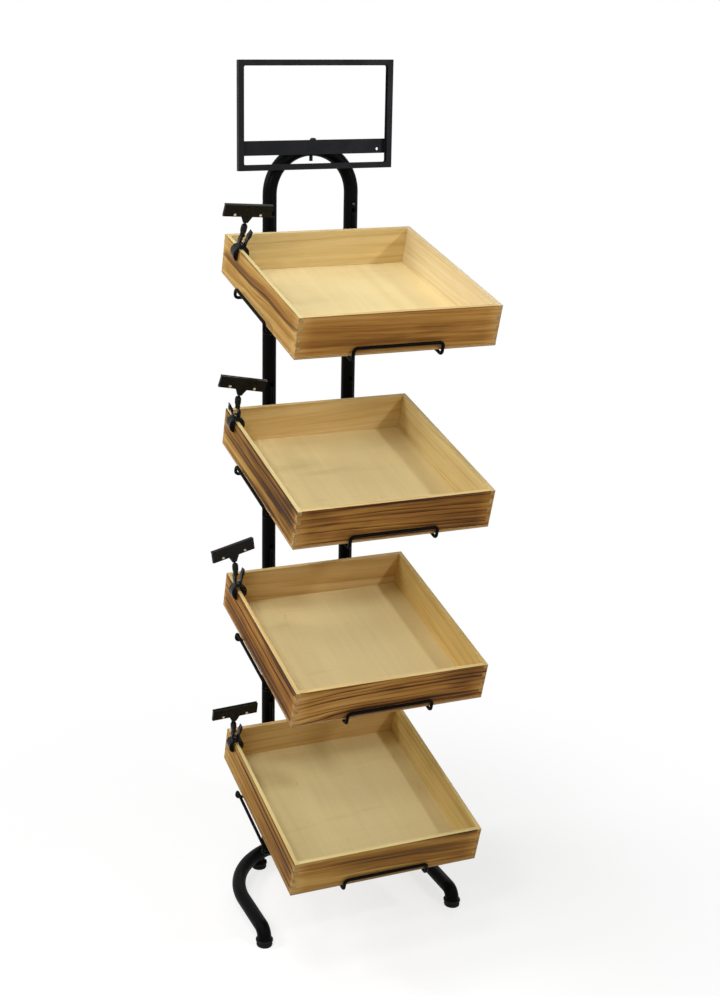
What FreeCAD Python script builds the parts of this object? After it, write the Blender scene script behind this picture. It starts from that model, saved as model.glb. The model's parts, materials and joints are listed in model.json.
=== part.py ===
import FreeCAD, Part
import math
import os

from FreeCAD import Placement, Rotation, Vector

# Crate floor display: four shallow wooden crates, sloping down to the front, on
# wire racks that hook into two tube uprights. The uprights stand on a U-shaped
# foot and are joined at the top by an arch that carries a sign frame. Each crate
# has a spring clip with a card gripper on its left rim.
# Millimetres. X to the right, Y to the back, Z up. The origin is on the floor. The
# code below works from the stand's centre plane, and save() moves each piece to the
# middle of the whole plan, which the card clips widen on the left only.

# ---- Tube stand -----------------------------------------------------------------
TUBE_D = 25.4
TUBE_WALL = 1.5
PLAN_X = 12.4                    # stand's centre plane to the right of the origin
UPRIGHT_PITCH = 157.3            # centre to centre of the two uprights
UPRIGHT_BACK = 190.0             # uprights behind the origin
SEAM_RISE = 19.0                 # seam of upright and arch above the top slot's middle
UPRIGHT_BOTTOM = 64.0            # seam between an upright and its socket
ARCH_STRAIGHT = 15.0             # straight part of the arch's legs above the seam
SPIGOT_GAP = 0.15                # radial, spigot in tube
SPIGOT_WALL = 1.2
SPIGOT_LENGTH = 60.0             # part of a spigot inside the upright
SPIGOT_ROOT = 12.0               # part of a spigot brazed into its own tube

# ---- Foot frame -----------------------------------------------------------------
BASE_HALF_WIDTH = 188.0          # centre plane to a leg's centreline
BASE_CORNER_R = 160.0            # centreline radius of the two rear bends
BASE_FRONT = 74.0                # front feet in front of the origin
ELBOW_R = 16.0                   # centreline radius where a leg turns down
SOCKET_SINK = 1.3                # how far a socket reaches under the foot tube

# ---- Rubber feet ----------------------------------------------------------------
FOOT_H = 12.0
FOOT_R = 15.5
FOOT_SOLE_R = 14.0
FOOT_RIM_H = 4.0
FOOT_EDGE = 1.0                  # bevel round the foot's edges
FOOT_WAIST = 2.0                 # waist inside the rim
FOOT_PLUG_R = 9.4
FOOT_PLUG_H = 6.0
FOOT_STEM_R = 8.0
FOOT_STEM_H = 8.0
REAR_FOOT_X = 105.0

# ---- Tiers and crates -----------------------------------------------------------
TIER_PITCH = 310.0
TIER_BOTTOM = 150.0              # front bottom edge of the lowest crate
TILT = 16.0                      # degrees, slope of a crate down to the front
CRATE_W = 355.0
CRATE_D = 351.0
BOARD_T = 7.5
FINGER = 8.4                     # height of one finger of the corner joints
FINGERS = 8
FLOOR_T = 4.3                    # plywood floor, fixed under the four boards
CRATE_BACK_GAP = 2.9             # crate's back bottom edge to the rack wire

# ---- Wire racks -----------------------------------------------------------------
WIRE_D = 5.5
WIRE_BEND = 7.0                  # centreline radius of the bends
WELD_SINK = 0.6                  # crossing wires sink this far into each other
CROSS_HALF_PITCH = 71.0          # cross wires before and behind mid-depth
LIP_RISE = 14.5                  # lip wire's centre above the crate's bottom
SIDE_LIP_GAP = 11.2              # side lip's centre outside the crate
FRONT_LIP_GAP = 4.0              # front lip's centre in front of the crate
SLOT_RISE = 193.0                # slot's centre above the crate's front edge
SLOT_H = 13.0
SLOT_SIDE_GAP = 0.3
SLOT_REST_GAP = 0.1              # hook above the slot's lower edge
HOOK_BEND = 3.6
HOOK_DROP = 6.2                  # hook's tip below its bar

# ---- Snap buttons ---------------------------------------------------------------
BUTTON_R = 2.5
BUTTON_RISE = -6.0               # button's centre above the seam
BUTTON_OUT = 2.6                 # how far the dome stands proud of the tube
BUTTON_HOLE_GAP = 0.1
BUTTON_DOME_R = 3.1
LEAF_T = 0.8
LEAF_W = 8.0
LEAF_H = 26.0
LEAF_GAP = 0.2                   # leaf to the spigot's inner wall

# ---- Sign holder ----------------------------------------------------------------
SIGN_W = 292.0
SIGN_H = 188.0
SIGN_DEPTH = 11.0
SIGN_FACE = 10.0                 # width of the channel's front flange
SIGN_SHEET = 1.2
SIGN_CORNER_R = 3.0
SIGN_DROP = 35.05                # frame's lower edge below the arch's crown
CARD_SLOT_W = 264.0
CARD_SLOT_D = 4.0
STRIP_W = 25.4
STRIP_T = 2.0
STRIP_RISE = 25.4                # strip's lower edge above the frame's
STRIP_INSET = 4.0                # strip's ends inside the frame's
STRIP_HOLE_R = 2.6
STRIP_HOLE_X = 122.0
STRIP_HOLE_RISE = 7.5
STEM_R = 3.175
STEM_BEND = 5.0
STEM_TAIL = 9.0                  # stem's end below the arch's inner side
STEM_HOLE_GAP = 0.8
STRIP_GAP = 0.1                  # strip to arch, and stem above arch

# ---- Card clips -----------------------------------------------------------------
CLIP_GRIP_DEPTH = 21.0           # jaw tips below the rim
CLIP_GRIP_GAP = 0.3              # jaw tip to the board's face
CLIP_PIVOT_RISE = 6.0
CLIP_BULGE = 13.0                # jaw's widest point from the board's middle
CLIP_BULGE_DEPTH = 8.0
CLIP_BAND = 2.6                  # least thickness of the moulded arms
CLIP_THROAT = 1.2                # jaw's inner side outside the line from tip to shoulder
CLIP_BACK = 3.4                  # fixed arm's back outside its middle line
CLIP_TAB_SWELL = 2.4             # thumb tab's two sides outside its middle line
CLIP_JAW_W = 17.0                # arm width at the jaws, along the rim
CLIP_TOP_W = 9.0
CLIP_SHOULDER = 5.0              # arm's middle beside the pivot
CLIP_NECK_RISE = 29.0            # top of the fixed arm above the rim
CLIP_NECK_LEAN = 2.4             # neck's axis beside the board's middle
CLIP_HANDLE_RISE = 33.0
CLIP_HANDLE_OUT = 12.5
EAR_R = 3.2
EAR_T = 2.6
EAR_GAP = 0.4                    # between neighbouring ears, along the pin
PIN_R = 1.1
PIN_GAP = 0.05                   # radial, lever's ear on the pin
SPRING_R = 2.6
SPRING_WIRE_R = 0.6
SPRING_TURNS = 3
SPRING_LEG = 9.0
SPRING_LEG_R = 0.5
SPRING_GAP = 0.1                 # spring's leg to the arm that it bears on
PEG_R = 2.6
PEG_H = 6.0
PEG_GAP = 0.05
NECK_R = 5.6
NECK_H = 16.5
NECK_TAPER = 1.2                 # neck's ends inside its middle
NECK_BELT = (0.35, 0.8)          # widest part, as shares of its height
NECK_MOUTH_WALL = 1.6
NECK_GAP = 0.3                   # neck above the arm, ball inside its socket
BALL_R = 3.2
BALL_RISE = 12.6                 # ball's centre above the neck's foot
STALK_R = 1.9
GUSSET_RISE = 7.5                # gusset's foot above the ball's centre
GUSSET_H = 12.0
GUSSET_FOOT_W = 8.0
GUSSET_HEAD_W = 21.0
GUSSET_T = 3.2
GRIPPER_W = 88.0
GRIPPER_H = 21.5
GRIPPER_WALL = 1.9
GRIPPER_SLOT = 1.2               # card slot between the gripper's two walls
GRIPPER_LIP = 3.0                # height of the flared mouth
GRIPPER_FLARE = 1.8
STUD_R = 2.3
STUD_SHANK_R = 1.4
STUD_HEAD_T = 0.9
STUD_RISE = 3.8
STUD_SHARE = 0.235               # studs from the gripper's ends, as a share of it

# One entry a tier, from the bottom: clip in front of the crate's back face and above
# its usual seat, lean towards the crate's middle and towards its back, turn and tilt
# of the gripper (all in degrees), and whether the lever faces out.
CLIP_POSES = [
    {"back": 38.0, "rise": 3.0, "lean": -6.0, "recline": 0.0, "turn": 3.0, "tilt": -6.0,
     "lever_out": False},
    {"back": 58.0, "rise": 5.0, "lean": -3.0, "recline": 16.0, "turn": 13.0, "tilt": 5.0,
     "lever_out": False},
    {"back": 46.0, "rise": 1.0, "lean": -3.0, "recline": 0.0, "turn": 0.0, "tilt": -14.5,
     "lever_out": True},
    {"back": 64.0, "rise": 0.0, "lean": 4.0, "recline": -8.0, "turn": 2.0, "tilt": -1.0,
     "lever_out": False},
]

# ---- Worked out from the above --------------------------------------------------
TUBE_R = TUBE_D / 2
BORE_R = TUBE_R - TUBE_WALL
SPIGOT_R = BORE_R - SPIGOT_GAP
SPIGOT_BORE_R = SPIGOT_R - SPIGOT_WALL
TIERS = len(CLIP_POSES)
UPRIGHT_X = UPRIGHT_PITCH / 2
UPRIGHT_TOP = TIER_BOTTOM + TIER_PITCH * (TIERS - 1) + SLOT_RISE + SEAM_RISE
ARCH_SPRING = UPRIGHT_TOP + ARCH_STRAIGHT
TUBE_FRONT = UPRIGHT_BACK - TUBE_R
BASE_AXIS = FOOT_H + ELBOW_R
ARCH_APEX = ARCH_SPRING + UPRIGHT_X
SIGN_BOTTOM = ARCH_APEX - SIGN_DROP
WIRE_R = WIRE_D / 2
RACK_WIRE_Y = TUBE_FRONT - WIRE_R
CRATE_H = FLOOR_T + FINGER * FINGERS
SLOPE = math.radians(TILT)
CRATE_FRONT = TUBE_FRONT - WIRE_D - CRATE_BACK_GAP - CRATE_D * math.cos(SLOPE)
SIGN_BACK = TUBE_FRONT - STRIP_GAP - STRIP_T
SIDES = (("left", -1), ("right", 1))
X_AXIS = Vector(1, 0, 0)
Y_AXIS = Vector(0, 1, 0)
Z_AXIS = Vector(0, 0, 1)


def save(shape, node):
    """Write one named sub-part, moved from the stand's centre plane to its place."""
    shape.translate(X_AXIS * PLAN_X)
    shape.exportStep("parts/" + node + ".step")


# ---- Building blocks ------------------------------------------------------------
def box(x0, x1, y0, y1, z0, z1):
    """Box between two corners."""
    return Part.makeBox(x1 - x0, y1 - y0, z1 - z0, Vector(x0, y0, z0))


def rod(radius, start, end):
    """Round bar between two points."""
    return Part.makeCylinder(radius, start.distanceToPoint(end), start, end - start)


def prism(points, direction):
    """Closed polygon pushed along a vector."""
    return Part.Face(Part.makePolygon(points + [points[0]])).extrude(direction)


def centreline(points, bends):
    """Wire through points, with a tangent arc of its own radius at each inner one."""
    edges = []
    start = points[0]
    for corner, following, bend in zip(points[1:-1], points[2:], bends):
        into = (corner - start).normalize()
        out = (following - corner).normalize()
        half_turn = into.getAngle(out) / 2
        setback = bend * math.tan(half_turn)
        begin, end = corner - into * setback, corner + out * setback
        centre = corner + (out - into).normalize() * (bend / math.cos(half_turn))
        middle = centre + (corner - centre).normalize() * bend
        if start.distanceToPoint(begin) > 1e-6:
            edges.append(Part.makeLine(start, begin))
        edges.append(Part.Arc(begin, middle, end).toShape())
        start = end
    if start.distanceToPoint(points[-1]) > 1e-6:
        edges.append(Part.makeLine(start, points[-1]))
    return Part.Wire(edges)


def bent_bar(points, bends, radius):
    """Round bar swept through points, with a tangent bend at each inner one."""
    section = Part.Wire(Part.makeCircle(radius, points[0], points[1] - points[0]))
    return centreline(points, bends).makePipeShell([section], True, True)


def disc_face(centre, normal, radius):
    """Flat disc."""
    return Part.Face(Part.Wire(Part.makeCircle(radius, centre, normal)))


def revolved(profile, base=Vector(0, 0, 0)):
    """Turned part from (radius, height) points about the vertical through base."""
    points = [base + Vector(r, 0, z) for r, z in profile]
    face = Part.Face(Part.makePolygon(points + [points[0]]))
    return face.revolve(base, Z_AXIS, 360)


def crate_placement(tier):
    """Where a crate's own frame lies: its front bottom edge, sloping up to the back."""
    foot = Vector(0, CRATE_FRONT, TIER_BOTTOM + TIER_PITCH * tier)
    return Placement(foot, Rotation(X_AXIS, TILT))


# ---- Stand ----------------------------------------------------------------------
def base_centreline():
    """Half of the foot's outline: leg, corner bend and rear bar, as bar points."""
    rear = UPRIGHT_BACK
    points = []
    for side in (-1, 1):
        x = side * BASE_HALF_WIDTH
        half = [
            Vector(x, -BASE_FRONT, FOOT_H),
            Vector(x, -BASE_FRONT, BASE_AXIS),
            Vector(x, rear, BASE_AXIS),
        ]
        points += half if side < 0 else half[::-1]
    return points


def base_frame():
    """Bent foot tube with two welded sockets, each with a spigot for an upright."""
    bends = [ELBOW_R, BASE_CORNER_R, BASE_CORNER_R, ELBOW_R]
    solids = [bent_bar(base_centreline(), bends, TUBE_R)]
    bores = [bent_bar(base_centreline(), bends, BORE_R)]
    for _, side in SIDES:
        x = side * UPRIGHT_X
        foot = Vector(x, UPRIGHT_BACK, BASE_AXIS - TUBE_R - SOCKET_SINK)
        seam = Vector(x, UPRIGHT_BACK, UPRIGHT_BOTTOM)
        tip = seam + Z_AXIS * SPIGOT_LENGTH
        root = seam - Z_AXIS * SPIGOT_ROOT
        solids += [rod(TUBE_R, foot, seam), rod(SPIGOT_R, seam, tip)]
        bores += [rod(BORE_R, foot, root), rod(SPIGOT_BORE_R, root, tip)]
    return solids[0].multiFuse(solids[1:]).cut(bores).removeSplitter()


def rack_slot(side, tier):
    """Upright slot, rounded at both ends, cut through whatever wall is in front."""
    half = WIRE_R + SLOT_SIDE_GAP
    x = side * UPRIGHT_X
    z = TIER_BOTTOM + TIER_PITCH * tier + SLOT_RISE
    reach = Y_AXIS * TUBE_R
    lower = Vector(x, TUBE_FRONT - WIRE_D, z - SLOT_H / 2 + half)
    upper = Vector(x, lower.y, z + SLOT_H / 2 - half)
    slot = box(x - half, x + half, lower.y, lower.y + TUBE_R, lower.z, upper.z)
    return slot.fuse([rod(half, lower, lower + reach), rod(half, upper, upper + reach)])


def button_hole(side):
    """Round hole for a snap button, through the walls in front."""
    radius = BUTTON_R + BUTTON_HOLE_GAP
    start = Vector(side * UPRIGHT_X, TUBE_FRONT - WIRE_D, UPRIGHT_TOP + BUTTON_RISE)
    return rod(radius, start, start + Y_AXIS * TUBE_R)


def upright(side):
    """Plain tube with one slot a tier and the hole for the arch's snap button."""
    x = side * UPRIGHT_X
    foot = Vector(x, UPRIGHT_BACK, UPRIGHT_BOTTOM)
    top = Vector(x, UPRIGHT_BACK, UPRIGHT_TOP)
    tube = rod(TUBE_R, foot, top).cut(rod(BORE_R, foot, top))
    cuts = [rack_slot(side, tier) for tier in range(TIERS)]
    return tube.cut(cuts + [button_hole(side)])


def arch_legs(foot_z):
    """Corners of the arch's centreline, from one leg's foot to the other's."""
    feet = [Vector(side * UPRIGHT_X, UPRIGHT_BACK, foot_z) for _, side in SIDES]
    crown = [Vector(foot.x, foot.y, ARCH_APEX) for foot in feet]
    return [feet[0]] + crown + [feet[1]]


def top_arch():
    """Half-round hoop with two spigots, drilled at its crown for the sign's stem."""
    bends = [UPRIGHT_X, UPRIGHT_X]
    root = UPRIGHT_TOP + SPIGOT_ROOT
    tip = UPRIGHT_TOP - SPIGOT_LENGTH
    solids = [bent_bar(arch_legs(UPRIGHT_TOP), bends, TUBE_R)]
    cuts = [bent_bar(arch_legs(root), bends, BORE_R)]
    for _, side in SIDES:
        x = side * UPRIGHT_X
        ends = [Vector(x, UPRIGHT_BACK, z) for z in (tip, UPRIGHT_TOP, root)]
        solids.append(rod(SPIGOT_R, ends[0], ends[1]))
        cuts.append(rod(SPIGOT_BORE_R, ends[0], ends[2]))
        cuts += [rack_slot(side, TIERS - 1), button_hole(side)]
    crown = Vector(0, UPRIGHT_BACK, ARCH_APEX)
    reach = Z_AXIS * TUBE_D
    cuts.append(rod(STEM_R + STEM_HOLE_GAP, crown - reach, crown + reach))
    return solids[0].multiFuse(solids[1:]).cut(cuts).removeSplitter()


def snap_button(side):
    """Domed button on a V-shaped leaf spring, sprung out through both tube walls."""
    x = side * UPRIGHT_X
    z = UPRIGHT_TOP + BUTTON_RISE
    front = UPRIGHT_BACK - SPIGOT_BORE_R + LEAF_GAP
    back = UPRIGHT_BACK + SPIGOT_BORE_R - LEAF_GAP
    tip = front + 2 * LEAF_T
    foot = z - BUTTON_R - LEAF_T
    top = foot + LEAF_H
    outline = [
        (front, foot), (front, top), (tip + LEAF_T, top), (back, foot),
        (back - LEAF_T, foot), (tip, top - LEAF_T), (front + LEAF_T, top - LEAF_T),
        (front + LEAF_T, foot),
    ]
    points = [Vector(x - LEAF_W / 2, y, h) for y, h in outline]
    leaf = prism(points, X_AXIS * LEAF_W)
    # The bore is round, so the leaf's edges are trimmed to it.
    leaf = leaf.common(rod(SPIGOT_BORE_R - LEAF_GAP / 2, Vector(x, UPRIGHT_BACK, foot - 1),
                           Vector(x, UPRIGHT_BACK, top + 1)))
    proud = TUBE_FRONT - BUTTON_OUT
    shank = rod(BUTTON_R, Vector(x, proud + BUTTON_R / 2, z), Vector(x, front + LEAF_T, z))
    dome = Part.makeSphere(BUTTON_DOME_R, Vector(x, proud + BUTTON_DOME_R, z))
    dome = dome.common(rod(BUTTON_R, Vector(x, proud - 1, z), Vector(x, proud + BUTTON_R, z)))
    return leaf.fuse([shank, dome]).removeSplitter()


def foot_body():
    """Outline of a turned rubber foot: sole, waist and a rim that the tube's end sits on."""
    rim = FOOT_H - FOOT_RIM_H
    return [(0, 0), (FOOT_SOLE_R, 0), (FOOT_R - FOOT_EDGE, 2 * FOOT_EDGE),
            (FOOT_R - FOOT_WAIST, rim), (FOOT_R, rim + FOOT_EDGE),
            (FOOT_R, FOOT_H - FOOT_EDGE), (FOOT_R - FOOT_EDGE, FOOT_H)]


def front_foot(side):
    """Foot with a plug that closes the turned-down end of a leg."""
    base = Vector(side * BASE_HALF_WIDTH, -BASE_FRONT, 0)
    plug = FOOT_H + FOOT_PLUG_H
    profile = foot_body() + [(FOOT_PLUG_R, FOOT_H), (FOOT_PLUG_R, plug - FOOT_EDGE),
                             (FOOT_PLUG_R - FOOT_EDGE, plug), (0, plug)]
    return revolved(profile, base)


def rear_foot(side):
    """Foot with a saddle neck under the rear bend of the foot tube."""
    run = REAR_FOOT_X - (BASE_HALF_WIDTH - BASE_CORNER_R)
    y = UPRIGHT_BACK - BASE_CORNER_R + math.sqrt(BASE_CORNER_R ** 2 - run ** 2)
    stem = FOOT_H + FOOT_STEM_H
    profile = foot_body() + [(FOOT_STEM_R, FOOT_H), (FOOT_STEM_R, stem), (0, stem)]
    foot = revolved(profile, Vector(side * REAR_FOOT_X, y, 0))
    tube = bent_bar(base_centreline()[1:-1], [BASE_CORNER_R, BASE_CORNER_R], TUBE_R)
    return foot.cut(tube)


# ---- Crates ---------------------------------------------------------------------
def finger_notches(x0, x1, y0, y1, first):
    """Every second finger cell of one board end, counted from the board's top."""
    cells = []
    for index in range(first, FINGERS, 2):
        top = CRATE_H - FINGER * index
        cells.append(box(x0, x1, y0, y1, top - FINGER, top))
    return cells


def end_board(y0):
    """Front or back board: full width, its fingers one step below the side boards'."""
    half = CRATE_W / 2
    board = box(-half, half, y0, y0 + BOARD_T, FLOOR_T, CRATE_H)
    notches = finger_notches(-half, -half + BOARD_T, y0, y0 + BOARD_T, 0)
    notches += finger_notches(half - BOARD_T, half, y0, y0 + BOARD_T, 0)
    return board.cut(notches)


def side_board(side):
    """Left or right board: full depth, with the top finger at each end."""
    outer = side * CRATE_W / 2
    inner = outer - side * BOARD_T
    x0, x1 = min(outer, inner), max(outer, inner)
    board = box(x0, x1, 0, CRATE_D, FLOOR_T, CRATE_H)
    notches = finger_notches(x0, x1, 0, BOARD_T, 1)
    notches += finger_notches(x0, x1, CRATE_D - BOARD_T, CRATE_D, 1)
    return board.cut(notches)


def crate_boards():
    """The five boards of a crate, by name, in the crate's own frame."""
    return {
        "front": end_board(0),
        "back": end_board(CRATE_D - BOARD_T),
        "left": side_board(-1),
        "right": side_board(1),
        "floor": box(-CRATE_W / 2, CRATE_W / 2, 0, CRATE_D, 0, FLOOR_T),
    }


# ---- Wire racks -----------------------------------------------------------------
def cradle_loop():
    """Closed loop of two cross wires and two raised side lips, in the crate's frame."""
    side_x = CRATE_W / 2 + SIDE_LIP_GAP
    middle = CRATE_D / 2
    front, back = middle - CROSS_HALF_PITCH, middle + CROSS_HALF_PITCH
    low, high = -WIRE_R, LIP_RISE
    loop = [
        Vector(0, front, low), Vector(side_x, front, low), Vector(side_x, front, high),
        Vector(side_x, back, high), Vector(side_x, back, low), Vector(-side_x, back, low),
        Vector(-side_x, back, high), Vector(-side_x, front, high),
        Vector(-side_x, front, low), Vector(0, front, low),
    ]
    return bent_bar(loop, [WIRE_BEND] * (len(loop) - 2), WIRE_R)


def carrier_wire(placement):
    """Long wire: hook, down the upright, under the crate, front lip, and back again."""
    low = -WIRE_D - WIRE_R + WELD_SINK
    front = -FRONT_LIP_GAP
    slot_foot = placement.Base.z + SLOT_RISE - SLOT_H / 2
    hook_z = slot_foot + WIRE_R + SLOT_REST_GAP
    inside = TUBE_FRONT + TUBE_WALL + SPIGOT_GAP + SPIGOT_WALL + WIRE_R + SLOT_SIDE_GAP
    low_point = placement.multVec(Vector(0, 0, low))
    bend_z = low_point.z + (RACK_WIRE_Y - low_point.y) * math.tan(SLOPE)
    half = [
        Vector(-UPRIGHT_X, inside, hook_z - HOOK_DROP),
        Vector(-UPRIGHT_X, inside, hook_z),
        Vector(-UPRIGHT_X, RACK_WIRE_Y, hook_z),
        Vector(-UPRIGHT_X, RACK_WIRE_Y, bend_z),
        placement.multVec(Vector(-UPRIGHT_X, front, low)),
        placement.multVec(Vector(-UPRIGHT_X, front, LIP_RISE)),
    ]
    mirrored = [Vector(-point.x, point.y, point.z) for point in reversed(half)]
    bends = [HOOK_BEND, HOOK_BEND, WIRE_BEND, WIRE_BEND, WIRE_BEND]
    return bent_bar(half + mirrored, bends + bends[::-1], WIRE_R)


def rack(tier):
    """Welded wire rack of one tier."""
    placement = crate_placement(tier)
    loop = cradle_loop()
    loop.Placement = placement
    return carrier_wire(placement).fuse(loop).removeSplitter()


# ---- Sign holder ----------------------------------------------------------------
def rounded_window(width, height, depth, radius):
    """Block with rounded corners as seen from the front, centred on X and Z."""
    block = box(-width / 2, width / 2, 0, depth, -height / 2, height / 2)
    upright_edges = [e for e in block.Edges if abs(e.tangentAt(e.FirstParameter).y) > 0.99]
    return block.makeFillet(radius, upright_edges)


def sign_frame():
    """Channel frame, open towards its window, with a slot in its top for the card."""
    block = box(-SIGN_W / 2, SIGN_W / 2, 0, SIGN_DEPTH, -SIGN_H / 2, SIGN_H / 2)
    window = rounded_window(SIGN_W - 2 * SIGN_FACE, SIGN_H - 2 * SIGN_FACE, SIGN_DEPTH,
                            SIGN_CORNER_R)
    inset_w = SIGN_W / 2 - SIGN_SHEET
    inset_h = SIGN_H / 2 - SIGN_SHEET
    groove = box(-inset_w, inset_w, SIGN_SHEET, SIGN_DEPTH - SIGN_SHEET, -inset_h, inset_h)
    middle = SIGN_DEPTH / 2
    slot = box(-CARD_SLOT_W / 2, CARD_SLOT_W / 2, middle - CARD_SLOT_D / 2,
               middle + CARD_SLOT_D / 2, 0, SIGN_H)
    frame = block.cut([window, groove, slot])
    frame.translate(Vector(0, SIGN_BACK - SIGN_DEPTH, SIGN_BOTTOM + SIGN_H / 2))
    return frame


def sign_bracket():
    """Cross strip behind the frame, with a bent stem that drops through the arch."""
    half = SIGN_W / 2 - STRIP_INSET
    foot = SIGN_BOTTOM + STRIP_RISE
    strip = box(-half, half, SIGN_BACK, SIGN_BACK + STRIP_T, foot, foot + STRIP_W)
    hole = Vector(STRIP_HOLE_X, SIGN_BACK - 1, foot + STRIP_HOLE_RISE)
    strip = strip.cut(rod(STRIP_HOLE_R, hole, hole + Y_AXIS * 2 * (STRIP_T + 1)))
    stem_z = ARCH_APEX + TUBE_R + STEM_R + STRIP_GAP
    stem = bent_bar(
        [Vector(0, SIGN_BACK, stem_z), Vector(0, UPRIGHT_BACK, stem_z),
         Vector(0, UPRIGHT_BACK, ARCH_APEX - TUBE_R - STEM_TAIL)],
        [STEM_BEND], STEM_R)
    return strip.fuse(stem).removeSplitter()


# ---- Card clips -----------------------------------------------------------------
# A clip's own frame: X across the board (from the fixed arm's side to the lever's),
# Y along the rim, Z square to the rim, and the origin at the middle of the rim.
def band(centreline, thickness):
    """Face of even thickness, round at both ends, along lines and three-point arcs."""
    half = thickness / 2
    faces = []
    for part in centreline:
        points = [Vector(x, 0, z) for x, z in part]
        if len(points) == 3:
            arc = Part.Arc(*points).toShape()
            centre = arc.Curve.Center
            radius = arc.Curve.Radius
            edges = []
            for reach in (radius - half, radius + half):
                ends = [centre + (p - centre).normalize() * reach for p in points]
                edges.append((Part.Arc(*ends).toShape(), ends[0], ends[2]))
            inner, outer = edges
            sides = [Part.makeLine(inner[1], outer[1]), Part.makeLine(inner[2], outer[2])]
            outline = Part.Wire(Part.__sortEdges__([inner[0], outer[0]] + sides))
            faces.append(Part.Face(outline))
        else:
            along = (points[1] - points[0]).normalize()
            across = Vector(-along.z, 0, along.x) * half
            corners = [points[0] + across, points[1] + across, points[1] - across,
                       points[0] - across]
            faces.append(Part.Face(Part.makePolygon(corners + [corners[0]])))
        for end in (points[0], points[-1]):
            faces.append(disc_face(end, Y_AXIS, half))
    return faces


def swelling(line, low, high):
    """Face between two arcs that share a line's ends, low and high beside its middle."""
    start, end = (Vector(x, 0, z) for x, z in line)
    along = (end - start).normalize()
    across = Vector(-along.z, 0, along.x)
    middle = (start + end) / 2
    arcs = [Part.Arc(start, middle + across * reach, end).toShape() for reach in (low, high)]
    return Part.Face(Part.Wire(Part.__sortEdges__(arcs)))


def jaw_swelling(way):
    """Flesh of a jaw between its bowed outer side and its shallow inner side."""
    tip, _, shoulder = jaw_path(way)
    bow = CLIP_BULGE - (abs(tip[0]) + abs(shoulder[0])) / 2
    return swelling([tip, shoulder], -way * CLIP_THROAT, -way * bow)


def moulded_arm(centreline, swellings):
    """Arm along a line, thickened by swellings, wide at the jaw and narrow at the top."""
    pieces = []
    for face in band(centreline, CLIP_BAND) + swellings:
        face.translate(Vector(0, -CLIP_JAW_W / 2, 0))
        pieces.append(face.extrude(Y_AXIS * CLIP_JAW_W))
    arm = pieces[0].multiFuse(pieces[1:]).removeSplitter()
    foot = -CLIP_GRIP_DEPTH - CLIP_BAND
    top = CLIP_NECK_RISE + CLIP_BAND * 2
    wide, narrow = CLIP_JAW_W / 2, CLIP_TOP_W / 2
    knee = CLIP_PIVOT_RISE - EAR_R
    outline = [(-narrow, foot), (-wide, foot + narrow), (-wide, knee), (-narrow, knee + 3 * EAR_R),
               (-narrow, top), (narrow, top), (narrow, knee + 3 * EAR_R), (wide, knee),
               (wide, foot + narrow), (narrow, foot)]
    reach = CLIP_BULGE * 2
    silhouette = prism([Vector(-reach, y, z) for y, z in outline], X_AXIS * 2 * reach)
    return arm.common(silhouette)


def jaw_path(way):
    """Bowed jaw from its tip up to the shoulder beside the pivot; way is -1 or 1."""
    tip_x = BOARD_T / 2 + CLIP_GRIP_GAP + CLIP_BAND / 2
    return [(way * tip_x, -CLIP_GRIP_DEPTH + CLIP_BAND / 2),
            (way * CLIP_BULGE, -CLIP_BULGE_DEPTH),
            (way * CLIP_SHOULDER, CLIP_PIVOT_RISE)]


def ear(way, middle, hole_r):
    """Pivot ear at one place along the pin, webbed to the arm beside it."""
    foot = Vector(0, middle - EAR_T / 2, CLIP_PIVOT_RISE)
    disc = rod(EAR_R, foot, foot + Y_AXIS * EAR_T)
    shoulder = way * CLIP_SHOULDER
    web = box(min(0, shoulder), max(0, shoulder), foot.y, foot.y + EAR_T,
              CLIP_PIVOT_RISE - EAR_R, CLIP_PIVOT_RISE + EAR_R)
    solid = disc.fuse(web)
    return solid.cut(rod(hole_r, foot, foot + Y_AXIS * EAR_T)) if hole_r else solid


def ear_places():
    """Middles of the fixed arm's outer ears and the lever's inner ears, along the pin."""
    lever = SPRING_TURNS * SPRING_WIRE_R + EAR_GAP + EAR_T / 2
    return lever + EAR_T + EAR_GAP, lever


def upper_line(way):
    """Straight middle line of an arm above its shoulder; way is -1 or 1."""
    shoulder = (way * CLIP_SHOULDER, CLIP_PIVOT_RISE)
    if way < 0:
        return [shoulder, (-CLIP_NECK_LEAN, CLIP_NECK_RISE - CLIP_BAND / 2)]
    return [shoulder, (CLIP_SHOULDER + CLIP_BAND, CLIP_PIVOT_RISE + 3 * EAR_R)]


def clip_arm():
    """Fixed arm: jaw, ears with a moulded pin, and a peg that the neck turns on."""
    back = swelling(upper_line(-1), CLIP_BAND / 4, CLIP_BACK)
    arm = moulded_arm([jaw_path(-1), upper_line(-1)], [jaw_swelling(-1), back])
    outer, _ = ear_places()
    ends = [Vector(0, way * (outer + EAR_T / 2), CLIP_PIVOT_RISE) for way in (-1, 1)]
    pieces = [ear(-1, way * outer, 0) for way in (-1, 1)]
    pieces.append(rod(PIN_R, ends[0], ends[1]))
    head = Vector(-CLIP_NECK_LEAN, 0, CLIP_NECK_RISE)
    pieces.append(rod(CLIP_TOP_W / 2, head - Z_AXIS * 2 * CLIP_BAND, head))
    pieces.append(rod(PEG_R, head, head + Z_AXIS * PEG_H))
    return arm.multiFuse(pieces).removeSplitter()


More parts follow.
